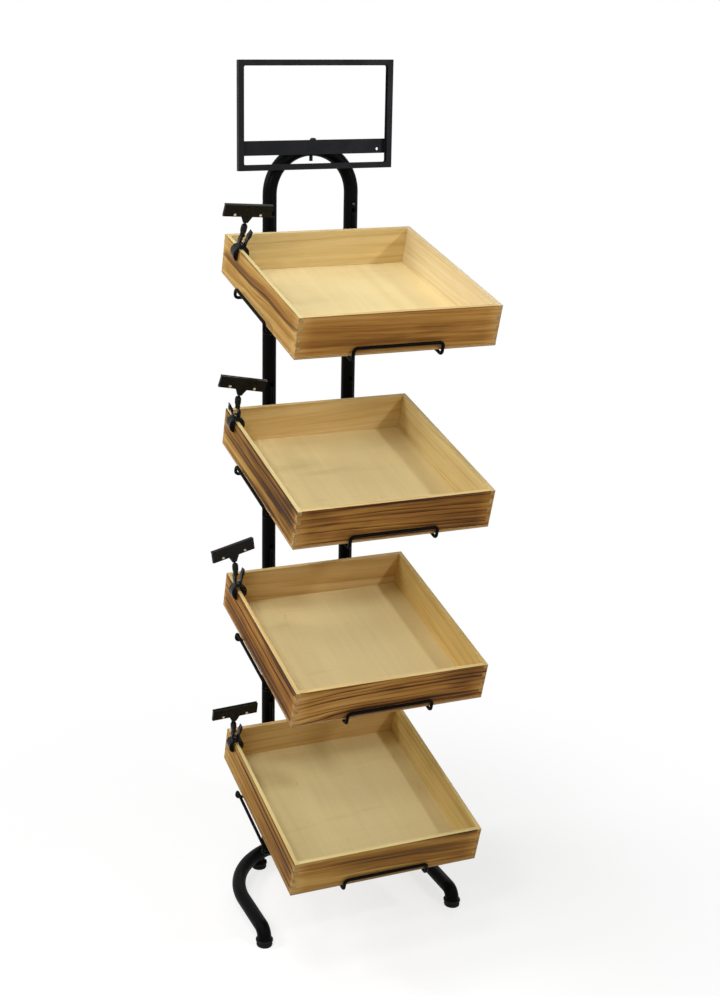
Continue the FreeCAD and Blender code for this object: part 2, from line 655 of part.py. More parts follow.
def clip_lever():
    """Sprung arm: jaw, ears that turn on the pin, and a flared thumb tab."""
    straight = upper_line(1)
    tab = [straight[1], (CLIP_HANDLE_OUT, CLIP_HANDLE_RISE)]
    swellings = [jaw_swelling(1), swelling(tab, -CLIP_TAB_SWELL, CLIP_TAB_SWELL)]
    arm = moulded_arm([jaw_path(1), straight, tab], swellings)
    _, inner = ear_places()
    ears = [ear(1, way * inner, 0) for way in (-1, 1)]
    lever = arm.multiFuse(ears)
    reach = Y_AXIS * CLIP_JAW_W
    axis = Vector(0, 0, CLIP_PIVOT_RISE)
    hole = rod(PIN_R + PIN_GAP, axis - reach, axis + reach)
    return lever.cut(hole).cut(ear_clearance()).removeSplitter()


def ear_clearance():
    """Room in the lever for the fixed arm's ears, with the running gap round them."""
    outer, _ = ear_places()
    radius = EAR_R + EAR_GAP
    cuts = []
    for way in (-1, 1):
        middle = Vector(0, way * outer, CLIP_PIVOT_RISE)
        half = Y_AXIS * (EAR_T / 2 + EAR_GAP)
        cuts.append(rod(radius, middle - half, middle + half))
    return cuts[0].fuse(cuts[1])


def spring_turn(middle):
    """One turn of the spring, as a ring of six-sided wire."""
    wire, mean = SPRING_WIRE_R, SPRING_R - SPRING_WIRE_R
    section = []
    for corner in range(6):
        angle = math.radians(60 * corner)
        section.append(Vector(mean + wire * math.cos(angle), middle + wire * math.sin(angle),
                              CLIP_PIVOT_RISE))
    face = Part.Face(Part.makePolygon(section + [section[0]]))
    return face.revolve(Vector(0, 0, CLIP_PIVOT_RISE), Y_AXIS, 360)


def spring_leg(way, middle):
    """Leg of the spring from its coil to the inner face of one arm."""
    (x0, z0), (x1, z1) = upper_line(way)
    share = SPRING_LEG / (z1 - z0)
    slant = math.hypot(x1 - x0, z1 - z0) / (z1 - z0)
    clear = (CLIP_BAND / 2 + SPRING_LEG_R + SPRING_GAP) * slant
    tip = Vector(x0 + (x1 - x0) * share - way * clear, middle, z0 + SPRING_LEG)
    return rod(SPRING_LEG_R, Vector(way * (SPRING_R - SPRING_WIRE_R), middle, z0), tip)


def clip_spring():
    """Torsion spring round the pin, with a leg against the inner face of each arm."""
    pitch = 2 * SPRING_WIRE_R * math.sin(math.radians(60))
    middles = [(turn - (SPRING_TURNS - 1) / 2) * pitch for turn in range(SPRING_TURNS)]
    pieces = [spring_turn(middle) for middle in middles]
    pieces += [spring_leg(-1, middles[0]), spring_leg(1, middles[-1])]
    return pieces[0].multiFuse(pieces[1:]).removeSplitter()


def neck_axis():
    """Foot of the neck's own axis."""
    return Vector(-CLIP_NECK_LEAN, 0, CLIP_NECK_RISE)


def ball_centre():
    """Centre of the gripper's ball, inside the neck."""
    return neck_axis() + Z_AXIS * BALL_RISE


def clip_neck():
    """Turned neck: bored below for the arm's peg, and above as the ball's socket."""
    waist = NECK_R - NECK_TAPER
    low, high = (NECK_H * share for share in NECK_BELT)
    profile = [(0, NECK_GAP), (waist, NECK_GAP), (NECK_R, low), (NECK_R, high),
               (waist, NECK_H), (0, NECK_H)]
    neck = revolved(profile, neck_axis())
    peg_bore = rod(PEG_R + PEG_GAP, neck_axis(), neck_axis() + Z_AXIS * (PEG_H + NECK_GAP))
    socket = Part.makeSphere(BALL_R + NECK_GAP, ball_centre())
    mouth_r = NECK_R - NECK_MOUTH_WALL
    mouth = Part.makeCone(STALK_R + NECK_GAP, mouth_r, NECK_H - BALL_RISE + 0.01, ball_centre(),
                          Z_AXIS)
    return neck.cut([peg_bore, socket, mouth])


def gripper_profile():
    """Section across the gripper: two walls, a closed foot and a flared mouth."""
    foot = ball_centre().z + GUSSET_RISE + GUSSET_H
    top = foot + GRIPPER_H
    lip = top - GRIPPER_LIP
    slot = GRIPPER_SLOT / 2
    wall = slot + GRIPPER_WALL
    return [
        (-wall, foot), (wall, foot), (wall, lip), (wall + GRIPPER_FLARE, top),
        (slot + GRIPPER_FLARE, top), (slot, lip), (slot, foot + GRIPPER_WALL),
        (-slot, foot + GRIPPER_WALL), (-slot, lip), (-slot, top), (-wall, top),
    ]


def clip_gripper():
    """Card gripper: a clasp bar on a gusset, a stalk and a ball."""
    centre = ball_centre()
    left = centre.x - GRIPPER_W / 2
    bar = prism([Vector(left, y, z) for y, z in gripper_profile()], X_AXIS * GRIPPER_W)
    low = centre.z + GUSSET_RISE
    high = low + GUSSET_H
    foot_half, head_half = GUSSET_FOOT_W / 2, GUSSET_HEAD_W / 2
    outline = [(-foot_half, low), (foot_half, low), (head_half, high), (-head_half, high)]
    points = [Vector(centre.x + x, -GUSSET_T / 2, z) for x, z in outline]
    gusset = prism(points, Y_AXIS * GUSSET_T)
    ball = Part.makeSphere(BALL_R, centre)
    stalk = rod(STALK_R, centre, centre + Z_AXIS * (GUSSET_RISE + 1))
    gripper = bar.multiFuse([gusset, stalk, ball])
    return gripper.cut(stud_bodies(0)).removeSplitter()


def stud_bodies(head):
    """Two studs across the gripper, with heads of the given thickness on both faces."""
    half = GRIPPER_SLOT / 2 + GRIPPER_WALL
    z = ball_centre().z + GUSSET_RISE + GUSSET_H + STUD_RISE
    reach = GRIPPER_W * (0.5 - STUD_SHARE)
    studs = []
    for way in (-1, 1):
        middle = Vector(ball_centre().x + way * reach, 0, z)
        stud = rod(STUD_SHANK_R, middle - Y_AXIS * half, middle + Y_AXIS * half)
        if head:
            heads = [rod(STUD_R, middle + Y_AXIS * face * half,
                         middle + Y_AXIS * face * (half + head)) for face in (-1, 1)]
            stud = stud.multiFuse(heads).removeSplitter()
        studs.append(stud)
    return studs


def clip_studs():
    """The gripper's two pale studs, as separate solids."""
    return Part.makeCompound(stud_bodies(STUD_HEAD_T))


def turned(shape, centre, axis, angle):
    """Copy of a shape, turned about an axis through a point."""
    copy = shape.copy()
    copy.rotate(centre, axis, angle)
    return copy


def clip_parts(pose):
    """The clip's six pieces, by name, turned and tilted as that tier's clip stands."""
    neck_foot = neck_axis()
    ball = ball_centre()
    turn = pose["turn"] + (180 if pose["lever_out"] else 0)
    heads = {"clip_gripper": clip_gripper(), "clip_studs": clip_studs()}
    parts = {"clip_arm": clip_arm(), "clip_lever": clip_lever(), "clip_spring": clip_spring(),
             "clip_neck": clip_neck()}
    for name, shape in heads.items():
        tilted = turned(shape, ball, Y_AXIS, -pose["tilt"])
        parts[name] = turned(tilted, neck_foot, Z_AXIS, turn)
    return parts


def clip_placement(tier, pose):
    """Where a clip's own frame lies on the rim of a crate's left board."""
    facing = Rotation(Z_AXIS, 180 if pose["lever_out"] else 0)
    stance = Rotation(X_AXIS, -pose["recline"]).multiply(Rotation(Y_AXIS, pose["lean"]))
    grip = Vector(0, 0, -CLIP_GRIP_DEPTH + CLIP_BAND / 2)
    leaned = Placement(grip - stance.multVec(grip), stance.multiply(facing))
    seat = Vector(-CRATE_W / 2 + BOARD_T / 2, CRATE_D - pose["back"], CRATE_H + pose["rise"])
    return crate_placement(tier).multiply(Placement(seat, Rotation())).multiply(leaned)


# ---- Export ---------------------------------------------------------------------
def main():
    os.makedirs("parts", exist_ok=True)
    save(base_frame(), "base_frame")
    for name, side in SIDES:
        save(upright(side), name + "_upright")
        save(snap_button(side), name + "_snap_button")
        save(front_foot(side), name + "_front_foot")
        save(rear_foot(side), name + "_rear_foot")
    save(top_arch(), "top_arch")
    save(sign_frame(), "sign_frame")
    save(sign_bracket(), "sign_bracket")
    boards = crate_boards()
    for tier, pose in enumerate(CLIP_POSES):
        label = "tier" + str(tier + 1) + "_"
        save(rack(tier), label + "rack")
        for name, shape in boards.items():
            board = shape.copy()
            board.Placement = crate_placement(tier)
            save(board, label + "crate_" + name)
        for name, shape in clip_parts(pose).items():
            piece = shape.copy()
            piece.Placement = clip_placement(tier, pose).multiply(piece.Placement)
            save(piece, label + name)


main()
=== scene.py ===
import json
import math
from collections import namedtuple

import bmesh
import bpy
from mathutils import Matrix, Vector, noise


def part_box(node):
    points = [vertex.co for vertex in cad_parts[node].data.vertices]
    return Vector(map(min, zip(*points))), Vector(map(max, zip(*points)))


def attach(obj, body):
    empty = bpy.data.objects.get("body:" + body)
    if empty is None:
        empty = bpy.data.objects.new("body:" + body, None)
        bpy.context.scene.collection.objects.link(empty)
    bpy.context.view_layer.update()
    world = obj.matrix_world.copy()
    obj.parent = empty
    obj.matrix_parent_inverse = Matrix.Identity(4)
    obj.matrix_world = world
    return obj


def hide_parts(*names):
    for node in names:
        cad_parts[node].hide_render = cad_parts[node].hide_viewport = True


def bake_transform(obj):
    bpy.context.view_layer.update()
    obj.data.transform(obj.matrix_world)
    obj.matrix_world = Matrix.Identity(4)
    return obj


# Looks of the crate floor display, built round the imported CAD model. Metres, in the
# model's own frame: X to the right, Y to the back, Z up, the floor at Z = 0.

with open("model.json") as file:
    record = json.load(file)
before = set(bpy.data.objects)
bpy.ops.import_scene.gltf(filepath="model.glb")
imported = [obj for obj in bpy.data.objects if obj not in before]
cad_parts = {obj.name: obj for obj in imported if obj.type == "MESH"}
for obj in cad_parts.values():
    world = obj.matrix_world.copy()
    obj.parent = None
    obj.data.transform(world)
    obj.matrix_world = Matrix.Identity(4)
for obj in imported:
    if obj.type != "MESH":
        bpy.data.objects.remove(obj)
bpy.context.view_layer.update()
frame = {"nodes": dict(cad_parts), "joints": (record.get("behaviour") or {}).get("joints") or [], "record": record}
nodes = frame["nodes"]
joints = {joint["name"]: joint for joint in frame["joints"]}

# ---- Places and sizes ------------------------------------------------------------
TIERS = range(1, 5)
TILT = math.radians(16.0)            # slope of the crates
CRATE_H = 0.0715
CRATE_D = 0.351
PLY_T = 0.0043
WIRE_D = 0.0055
CROSS_HALF_PITCH = 0.071             # cross wires before and behind mid-depth
TUBE_R = 0.0127
UPRIGHT_X = 0.07865                  # upright's axis beside the stand's centre plane
CORNER_R = 0.160                     # centreline radius of the foot's rear bends
CORNER_X = 0.028                     # centres of those bends beside the centre plane
BASE_AXIS = 0.028                    # foot tube's axis above the floor
ROOT = "display"

sign_low, sign_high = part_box("sign_frame")
STAND_X = (sign_low.x + sign_high.x) / 2     # the stand's centre plane
ACROSS = Vector((1, 0, 0))
UP_SLOPE = Vector((0, math.cos(TILT), math.sin(TILT)))
OFF_FLOOR = Vector((0, -math.sin(TILT), math.cos(TILT)))


# ---- Shader building ------------------------------------------------------------
# Frequencies are per metre, along the board, up it and into it where there is one.
Noise = namedtuple("Noise", "frequency detail roughness distortion", defaults=(2.0, 0.5, 0.0))
NO_TINT = (1.0, 1.0, 1.0)


def srgb(red, green, blue):
    """Linear colour from display values of 0 to 255, by the curve of the sRGB standard."""
    out = []
    for value in (red, green, blue):
        share = value / 255
        out.append(share / 12.92 if share <= 0.04045 else ((share + 0.055) / 1.055) ** 2.4)
    return (*out, 1.0)


class Tree:
    """A node tree, with short calls for the nodes that are used below."""

    def __init__(self, tree):
        self.tree = tree

    def feed(self, socket, value):
        """Link an output to a socket, or set the socket's own value."""
        if isinstance(value, bpy.types.NodeSocket):
            self.tree.links.new(value, socket)
        else:
            socket.default_value = value

    def node(self, kind, *values, **settings):
        """New node, with its settings and its first inputs."""
        node = self.tree.nodes.new("ShaderNode" + kind)
        for name, setting in settings.items():
            setattr(node, name, setting)
        for socket, value in zip(node.inputs, values):
            self.feed(socket, value)
        return node

    def math(self, operation, *values, clamp=False):
        return self.node("Math", *values, operation=operation, use_clamp=clamp).outputs[0]

    def vector(self, operation, *values):
        """Vector maths, which gives a number for a length or a dot product."""
        node = self.node("VectorMath", *values, operation=operation)
        return node.outputs["Value" if operation in ("LENGTH", "DOT_PRODUCT") else "Vector"]

    def split(self, vector):
        return self.node("SeparateXYZ", vector).outputs

    def join(self, *values):
        return self.node("CombineXYZ", *values).outputs[0]

    def coordinate(self, kind="Object"):
        return self.node("TexCoord").outputs[kind]

    def placed(self, origin, axes):
        """Coordinates in metres along three axes from an origin of the model's frame."""
        node = self.node("Mapping", vector_type="TEXTURE")
        turn = Matrix([axis[:] for axis in axes]).transposed()
        self.feed(node.inputs["Vector"], self.coordinate())
        self.feed(node.inputs["Location"], origin)
        self.feed(node.inputs["Rotation"], turn.to_euler("XYZ"))
        return node.outputs[0]

    def noise(self, place, kind):
        """Smooth noise from 0 to 1, most of it not far from 0.5."""
        node = self.node("TexNoise")
        self.feed(node.inputs["Vector"], self.vector("MULTIPLY", place, kind.frequency))
        self.feed(node.inputs["Scale"], 1.0)
        self.feed(node.inputs["Detail"], kind.detail)
        self.feed(node.inputs["Roughness"], kind.roughness)
        self.feed(node.inputs["Distortion"], kind.distortion)
        return node.outputs[0]

    def centred(self, value):
        """Noise that swings about 0."""
        return self.math("SUBTRACT", value, 0.5)

    def span(self, value, low, high, to_low=0.0, to_high=1.0, smooth=True):
        """Value taken from one range to another, held at its ends."""
        kind = "SMOOTHSTEP" if smooth else "LINEAR"
        return self.node("MapRange", value, low, high, to_low, to_high,
                         interpolation_type=kind).outputs[0]

    def ramp(self, factor, stops):
        """Colour by a factor of 0 to 1, through stops of a position and a colour."""
        node = self.node("ValToRGB", factor)
        band = node.color_ramp
        while len(band.elements) < len(stops):
            band.elements.new(0.5)
        for element, (position, colour) in zip(band.elements, stops):
            element.position = position
            element.color = colour
        return node.outputs[0]

    def mix(self, factor, first, second, blend="MIX"):
        """First colour at a factor of 0, and the second blended over it at 1."""
        node = self.node("Mix", factor, data_type="RGBA", blend_type=blend)
        self.feed(node.inputs[6], first)
        self.feed(node.inputs[7], second)
        return node.outputs[2]

    def tinted(self, colour, value, tint=NO_TINT):
        """Colour times one grey value and a tint."""
        shares = [self.math("MULTIPLY", value, share) for share in tint]
        factor = self.node("CombineColor", *shares).outputs[0]
        return self.mix(1.0, colour, factor, "MULTIPLY")

    def facing(self, axis):
        """How squarely the surface looks along an axis, either way, from 0 to 1."""
        return self.math("ABSOLUTE", self.vector("DOT_PRODUCT", self.coordinate("Normal"), axis))

    def bump(self, height, distance):
        """Normal of a relief whose height of 1 stands a distance in metres."""
        node = self.node("Bump")
        self.feed(node.inputs["Strength"], 1.0)
        self.feed(node.inputs["Distance"], distance)
        self.feed(node.inputs["Height"], height)
        return node.outputs[0]

    def background_rays(self):
        """1 for rays that show the background: from the camera, in gloss, through glass."""
        path = self.node("LightPath").outputs
        seen = self.math("MAXIMUM", path["Is Camera Ray"], path["Is Glossy Ray"])
        return self.math("MAXIMUM", seen, path["Is Transmission Ray"])


class Shader(Tree):
    """The node tree of a new material, with its surface shader."""

    def __init__(self, name):
        self.material = bpy.data.materials.new(name)
        self.material.use_nodes = True
        super().__init__(self.material.node_tree)
        self.bsdf = self.tree.nodes["Principled BSDF"]

    def surface(self, **values):
        """Set or link sockets of the surface shader, named with _ for spaces."""
        for name, value in values.items():
            self.feed(self.bsdf.inputs[name.replace("_", " ")], value)


# ---- Wood -----------------------------------------------------------------------
TORCHED = [(0.0, srgb(212, 164, 95)), (0.30, srgb(184, 132, 63)), (0.55, srgb(152, 101, 43)),
           (0.80, srgb(100, 62, 25)), (1.0, srgb(64, 38, 17))]
NATURAL = [(0.0, srgb(234, 210, 154)), (0.40, srgb(224, 196, 136)), (0.75, srgb(207, 173, 110)),
           (1.0, srgb(182, 142, 84))]
SCORCH = srgb(80, 54, 36)
RIM_SCORCH = srgb(70, 42, 22)
END_GRAIN = srgb(196, 156, 100)
END_LINE = srgb(148, 106, 60)
WOOD_SPECULAR = 0.12
BOARD_HALF = 0.176                   # half of a board's length

DRIFT = Noise((2.4, 9, 9))           # slow wander of the grain
CROWD = Noise((1.1, 42, 42))         # where rings crowd and where they spread
CROWD_SHIFT = 0.016                  # how far that moves the grain
RIPPLE = Noise((13, 60, 60))         # small waves in the grain
RIPPLE_SHARE = 0.12                  # how far they move it, as a share of its wander
BROAD = Noise((1.8, 60, 60), 3.0, 0.55)          # broad bands of tone
STREAK = Noise((6, 210, 210), 3.0, 0.6)          # narrow streaks
FIBRE = Noise((22, 1100, 1100), 2.0, 0.6)
PATCH = Noise((4.5, 30, 30), 3.0, 0.55, 0.5)     # scorched patches
CLARITY = Noise((3.2, 110, 110))     # how clearly a year ring shows
SEED_STEPS = (1.31, 0.77, 0.43)      # metres that one more of a seed moves the noises

# Two levels of a noise, or of what is named beside it, between which an effect comes in,
# and what it gives at each of them if not 0 and 1.
CLARITY_SPAN = (0.36, 0.62, 0.20, 1.0)
BURN_SPAN = (0.44, 0.66)
VEIN_SPAN = (0.0024, 0.0068)         # metres from the vein's middle
RIM_SPAN = (CRATE_H - 0.0030, CRATE_H - 0.0004)  # height at which the rim is scorched
RIM_BROAD_SPAN = (0.35, 0.62, 0.30, 0.85)
SAWN_SPAN = (0.6, 0.9)               # how squarely a face looks along the board
SAWN_LINE_SPAN = (0.35, 0.65)
FIBRE_SPAN = (0.25, 0.75, 0.92, 1.07)
ROUGHNESS_SPAN = (0.2, 0.8, 0.74, 0.58)

LATE_POWER = 2.0                     # how sharply a ring ends in its dark latewood
BROAD_TONE = 1.5                     # what each adds to the outer face, 0 pale to 1 dark
STREAK_TONE = 0.7
BURN_TONE = 0.5
VEIN_TONE = 0.42
END_TONE = -0.24                     # the flame is weaker towards the ends
END_LENGTH = 0.030
INNER_LATE_TONE = 0.34               # and to the inner face
INNER_BROAD_TONE = 1.1
INNER_STREAK_TONE = 0.40
BURN_GREY = 0.30                     # how far a scorched patch or a vein turns grey
VEIN_GREY = 0.35
VEIN_HEIGHT = 0.045                  # above the board's bottom edge
VEIN_WANDER = 0.010
TORCH_DEEPEST = 0.0016               # how far in the flame reaches at most
TORCH_UNEVEN = 0.0012                # how much less than that it reaches elsewhere
TORCH_EDGE = 0.0007                  # over what depth its mark fades
SAWN_SHARE = 0.85                    # how far the end grain covers what is under it
LATE_RELIEF = 0.7                    # shares of the relief
FIBRE_RELIEF = 0.5
PINE_RELIEF = 0.00022

# How a board was sawn and torched: pith across and below the outer face, ring spacing, how
# far the grain wanders and leans, share of ring lines, how dark and how patchy the torching
# is, strength of one meandering dark vein, shade of the inner face, a tint, and painted shade:
# how much the outer face darkens from the middle to one end, and pales by as much to the
# other, the dark end being the right end of a front board and the front end of a left one.
Cut = namedtuple("Cut", "pith spacing wander slope lines dark patchy vein inner tint fade",
                 defaults=(0.0,))


def warped(shader, local, seeded, wander, slope):
    """Board coordinates whose height follows the grain as it wanders along the board."""
    along, height, depth = shader.split(local)
    drift, crowd, ripple = (shader.centred(shader.noise(seeded, kind))
                            for kind in (DRIFT, CROWD, RIPPLE))
    lean = shader.math("MULTIPLY_ADD", along, slope, height)
    lean = shader.math("MULTIPLY_ADD", drift, wander, lean)
    lean = shader.math("MULTIPLY_ADD", crowd, CROWD_SHIFT, lean)
    lean = shader.math("MULTIPLY_ADD", ripple, wander * RIPPLE_SHARE, lean)
    return shader.join(along, lean, depth)


def rings(shader, grain, pith, spacing):
    """Year rings round a pith beside the board, as a share of the way through each."""
    _, height, depth = shader.split(grain)
    side = shader.math("SUBTRACT", height, pith[0])
    below = shader.math("SUBTRACT", depth, pith[1])
    squares = [shader.math("MULTIPLY", value, value) for value in (side, below)]
    turns = shader.math("DIVIDE", shader.math("SQRT", shader.math("ADD", *squares)), spacing)
    return shader.math("FRACT", turns)


def pine(name, origin, axes, seed, cut):
    """Pine board, torched on its outer face, natural inside and on its edges."""
    shader = Shader(name)
    local = shader.placed(origin, axes)
    shift = Vector([seed * step for step in SEED_STEPS])
    seeded = shader.vector("ADD", local, shift)
    leaning = warped(shader, local, seeded, cut.wander, cut.slope)
    ring = rings(shader, leaning, cut.pith, cut.spacing)
    grain = shader.vector("ADD", leaning, shift)
    along, height, depth = shader.split(local)
    broad, streak, fibre, patch, clarity = (shader.noise(grain, kind) for kind in
                                            (BROAD, STREAK, FIBRE, PATCH, CLARITY))
    late = shader.math("MULTIPLY", shader.math("POWER", ring, LATE_POWER),
                       shader.span(clarity, *CLARITY_SPAN))
    band = shader.centred(broad)
    fine = shader.centred(streak)
    # Outer face: latewood lines, painted shade along the board, broad and fine streaks, scorched patches, paler
    # ends.
    tone = shader.math("MULTIPLY_ADD", late, cut.lines, cut.dark)
    # Painted shade: the outer face darkens towards one end of the board and pales towards the other.
    tone = shader.math("MULTIPLY_ADD", along, cut.fade / BOARD_HALF, tone)
    tone = shader.math("MULTIPLY_ADD", band, BROAD_TONE, tone)
    tone = shader.math("MULTIPLY_ADD", fine, STREAK_TONE, tone)
    burn = shader.span(patch, *BURN_SPAN, 0.0, cut.patchy)
    tone = shader.math("MULTIPLY_ADD", burn, BURN_TONE, tone)
    off_vein = shader.math("SUBTRACT", shader.split(leaning)[1], VEIN_HEIGHT)
    off_vein = shader.math("MULTIPLY_ADD", fine, VEIN_WANDER, off_vein)
    vein = shader.span(shader.math("ABSOLUTE", off_vein), *VEIN_SPAN, cut.vein, 0.0)
    tone = shader.math("MULTIPLY_ADD", vein, VEIN_TONE, tone)
    near_end = shader.span(shader.math("ABSOLUTE", along), BOARD_HALF - END_LENGTH, BOARD_HALF)
    tone = shader.math("MULTIPLY_ADD", near_end, END_TONE, tone, clamp=True)
    outer = shader.ramp(tone, TORCHED)
    grey = shader.math("MULTIPLY_ADD", burn, BURN_GREY,
                       shader.math("MULTIPLY", vein, VEIN_GREY), clamp=True)
    outer = shader.mix(grey, outer, SCORCH)
    rim = shader.math("MULTIPLY", shader.span(height, *RIM_SPAN),
                      shader.span(broad, *RIM_BROAD_SPAN))
    outer = shader.mix(rim, outer, RIM_SCORCH)
    # Inner face: pale, with soft rings.
    inner_tone = shader.math("MULTIPLY_ADD", late, INNER_LATE_TONE, cut.inner)
    inner_tone = shader.math("MULTIPLY_ADD", band, INNER_BROAD_TONE, inner_tone)
    inner_tone = shader.math("MULTIPLY_ADD", fine, INNER_STREAK_TONE, inner_tone, clamp=True)
    inner = shader.ramp(inner_tone, NATURAL)
    # The flame reaches about a millimetre in, and the sawn ends show their own grain.
    sawn = shader.span(shader.facing(axes[0]), *SAWN_SPAN)
    reach = shader.math("MULTIPLY_ADD", broad, TORCH_UNEVEN, -TORCH_DEEPEST)
    torch = shader.span(depth, reach, shader.math("ADD", reach, TORCH_EDGE))
    torch = shader.math("MULTIPLY", torch, shader.math("SUBTRACT", 1.0, sawn))
    colour = shader.mix(torch, inner, outer)
    end_grain = shader.mix(shader.span(streak, *SAWN_LINE_SPAN), END_GRAIN, END_LINE)
    colour = shader.mix(shader.math("MULTIPLY", sawn, SAWN_SHARE), colour, end_grain)
    shade = shader.span(fibre, *FIBRE_SPAN, smooth=False)
    colour = shader.tinted(colour, shade, cut.tint)
    relief = shader.math("MULTIPLY_ADD", late, LATE_RELIEF,
                         shader.math("MULTIPLY", fibre, FIBRE_RELIEF))
    shader.surface(Base_Color=colour, Roughness=shader.span(broad, *ROUGHNESS_SPAN),
                   Specular_IOR_Level=WOOD_SPECULAR, Normal=shader.bump(relief, PINE_RELIEF))
    return shader.material


VENEER = [(0.30, srgb(232, 210, 154)), (0.46, srgb(238, 218, 164)), (0.56, srgb(235, 214, 159)),
          (0.72, srgb(242, 224, 173))]
VENEER_KNOT = srgb(198, 154, 96)
VENEER_SMEAR = srgb(186, 150, 98)
PALE_PLY = srgb(204, 168, 110)
DARK_PLY = srgb(160, 118, 70)
VENEER_BAND = Noise((1.2, 14, 14))
VENEER_FLAME = Noise((2.6, 48, 48), 3.0)
VENEER_FIBRE = Noise((18, 1000, 1000), 2.0, 0.6)
VENEER_RIPPLE = Noise((240, 14, 14), 1.0)
VENEER_KNOTS = Noise((30, 75, 75))
VENEER_SMEARS = Noise((40, 6, 6))
VENEER_SEED_STEPS = (0.91, 0.37, 0.53)
VENEER_WANDER = 0.02
VENEER_LEAN = 0.02
PLIES = 3
BAND_SHARE = 0.6                     # of the veneer's tone, the rest being its flame
KNOT_SPAN = (0.72, 0.82, 0.0, 0.35)
SMEAR_SPAN = (0.62, 0.80, 0.0, 0.16)
PLY_SPAN = (0.45, 0.55)              # where a pale ply ends in a pair, and a dark one begins
EDGE_SPAN = (0.3, 0.7)               # how squarely a face looks up or down
VENEER_FIBRE_SPAN = (0.25, 0.75, 0.97, 1.02)
VENEER_ROUGHNESS_SPAN = (0.2, 0.8, 0.72, 0.60)
VENEER_RIPPLE_SHADE = 0.05
VENEER_RELIEF = 0.00008


def plywood(name, origin, axes, seed, front_shade):
    """Pale plywood: a rotary-cut face veneer, with painted shade darkening it towards the front, and plies at its
    edges.
    """
    shader = Shader(name)
    local = shader.placed(origin, axes)
    shift = Vector([seed * step for step in VENEER_SEED_STEPS])
    seeded = shader.vector("ADD", local, shift)
    warp = warped(shader, local, seeded, VENEER_WANDER, VENEER_LEAN)
    grain = shader.vector("ADD", warp, shift)
    band, flame, fibre = (shader.noise(grain, kind) for kind in
                          (VENEER_BAND, VENEER_FLAME, VENEER_FIBRE))
    ripple, knots, smears = (shader.noise(seeded, kind) for kind in
                             (VENEER_RIPPLE, VENEER_KNOTS, VENEER_SMEARS))
    tone = shader.math("MULTIPLY_ADD", flame, 1.0 - BAND_SHARE,
                       shader.math("MULTIPLY", band, BAND_SHARE))
    colour = shader.ramp(tone, VENEER)
    colour = shader.mix(shader.span(knots, *KNOT_SPAN), colour, VENEER_KNOT)
    colour = shader.mix(shader.span(smears, *SMEAR_SPAN), colour, VENEER_SMEAR)
    # The plies show at the sheet's edges, pale and dark in turn.
    along, _, depth = shader.split(local)
    pair = shader.math("FRACT", shader.math("DIVIDE", depth, PLY_T * 2 / PLIES))
    plies = shader.mix(shader.span(pair, *PLY_SPAN), PALE_PLY, DARK_PLY)
    level = shader.span(shader.facing(axes[2]), *EDGE_SPAN)
    colour = shader.mix(shader.math("SUBTRACT", 1.0, level), colour, plies)
    fine = shader.math("MULTIPLY_ADD", shader.centred(ripple), VENEER_RIPPLE_SHADE,
                       shader.span(fibre, *VENEER_FIBRE_SPAN, smooth=False))
    # Painted shade: the floor darkens towards its front edge, more on the lower crates.
    front = shader.span(along, 0.0, CRATE_D, 1.0 - front_shade, 1.0, smooth=False)
    colour = shader.tinted(colour, shader.math("MULTIPLY", fine, front))
    shader.surface(Base_Color=colour, Roughness=shader.span(flame, *VENEER_ROUGHNESS_SPAN),
                   Specular_IOR_Level=WOOD_SPECULAR, Normal=shader.bump(fibre, VENEER_RELIEF))
    return shader.material


# ---- Metal, plastic and rubber --------------------------------------------------
CLOUD = Noise((35, 35, 35), 3.0)     # mottling of the tone and the gloss
CLOUD_SPAN = (0.3, 0.7)


def coat(name, dark, light, roughness, grain, depth, **constants):
    """Sprayed or moulded finish: mottled tone, uneven gloss and a fine surface grain.

    The grain is a frequency per metre, and depth is its relief in metres.
    """
    shader = Shader(name)
    place = shader.coordinate()
    cloud = shader.noise(place, CLOUD)
    fine = shader.noise(place, Noise((grain, grain, grain), detail=2.0, roughness=0.6))
    shader.surface(Base_Color=shader.mix(cloud, dark, light),
                   Roughness=shader.span(cloud, *CLOUD_SPAN, *roughness),
                   Normal=shader.bump(fine, depth), **constants)
    return shader.material


POWDER = coat("powder_coat", (0.0018, 0.0018, 0.0018, 1), (0.0034, 0.0034, 0.0034, 1),
              roughness=(0.34, 0.46), grain=1400, depth=0.00005, Specular_IOR_Level=0.03)
SIGN_COAT = coat("sign_coat", (0.0060, 0.0064, 0.0082, 1), (0.0088, 0.0096, 0.0122, 1),
                 roughness=(0.44, 0.56), grain=1400, depth=0.00004, Specular_IOR_Level=0.11)
PLASTIC = coat("clip_black", (0.0026, 0.0027, 0.0028, 1), (0.0050, 0.0052, 0.0055, 1),
               roughness=(0.24, 0.38), grain=2400, depth=0.00002, Specular_IOR_Level=0.16)
RUBBER = coat("foot_black", (0.0035, 0.0035, 0.0034, 1), (0.0065, 0.0065, 0.0062, 1),
              roughness=(0.55, 0.72), grain=900, depth=0.00008, Specular_IOR_Level=0.12)
STUD = coat("stud_ivory", srgb(214, 200, 176), srgb(236, 224, 204),
            roughness=(0.26, 0.38), grain=700, depth=0.00002, Specular_IOR_Level=0.5)
STEEL = coat("spring_steel", (0.42, 0.42, 0.43, 1), (0.60, 0.60, 0.60, 1),
             roughness=(0.20, 0.34), grain=2600, depth=0.00002, Metallic=1.0)
BUTTON_STEEL = coat("button_steel", (0.04, 0.04, 0.042, 1), (0.07, 0.07, 0.07, 1),
                    roughness=(0.36, 0.50), grain=2600, depth=0.00002, Metallic=1.0)

FINISHES = {"black_steel": POWDER, "clip_plastic": PLASTIC, "foot_rubber": RUBBER,
            "clip_stud": STUD, "spring_steel": STEEL}


# ---- CAD nodes ------------------------------------------------------------------
def dress(obj, material):
    """Give a whole object one material."""
    obj.data.materials.clear()
    obj.data.materials.append(material)


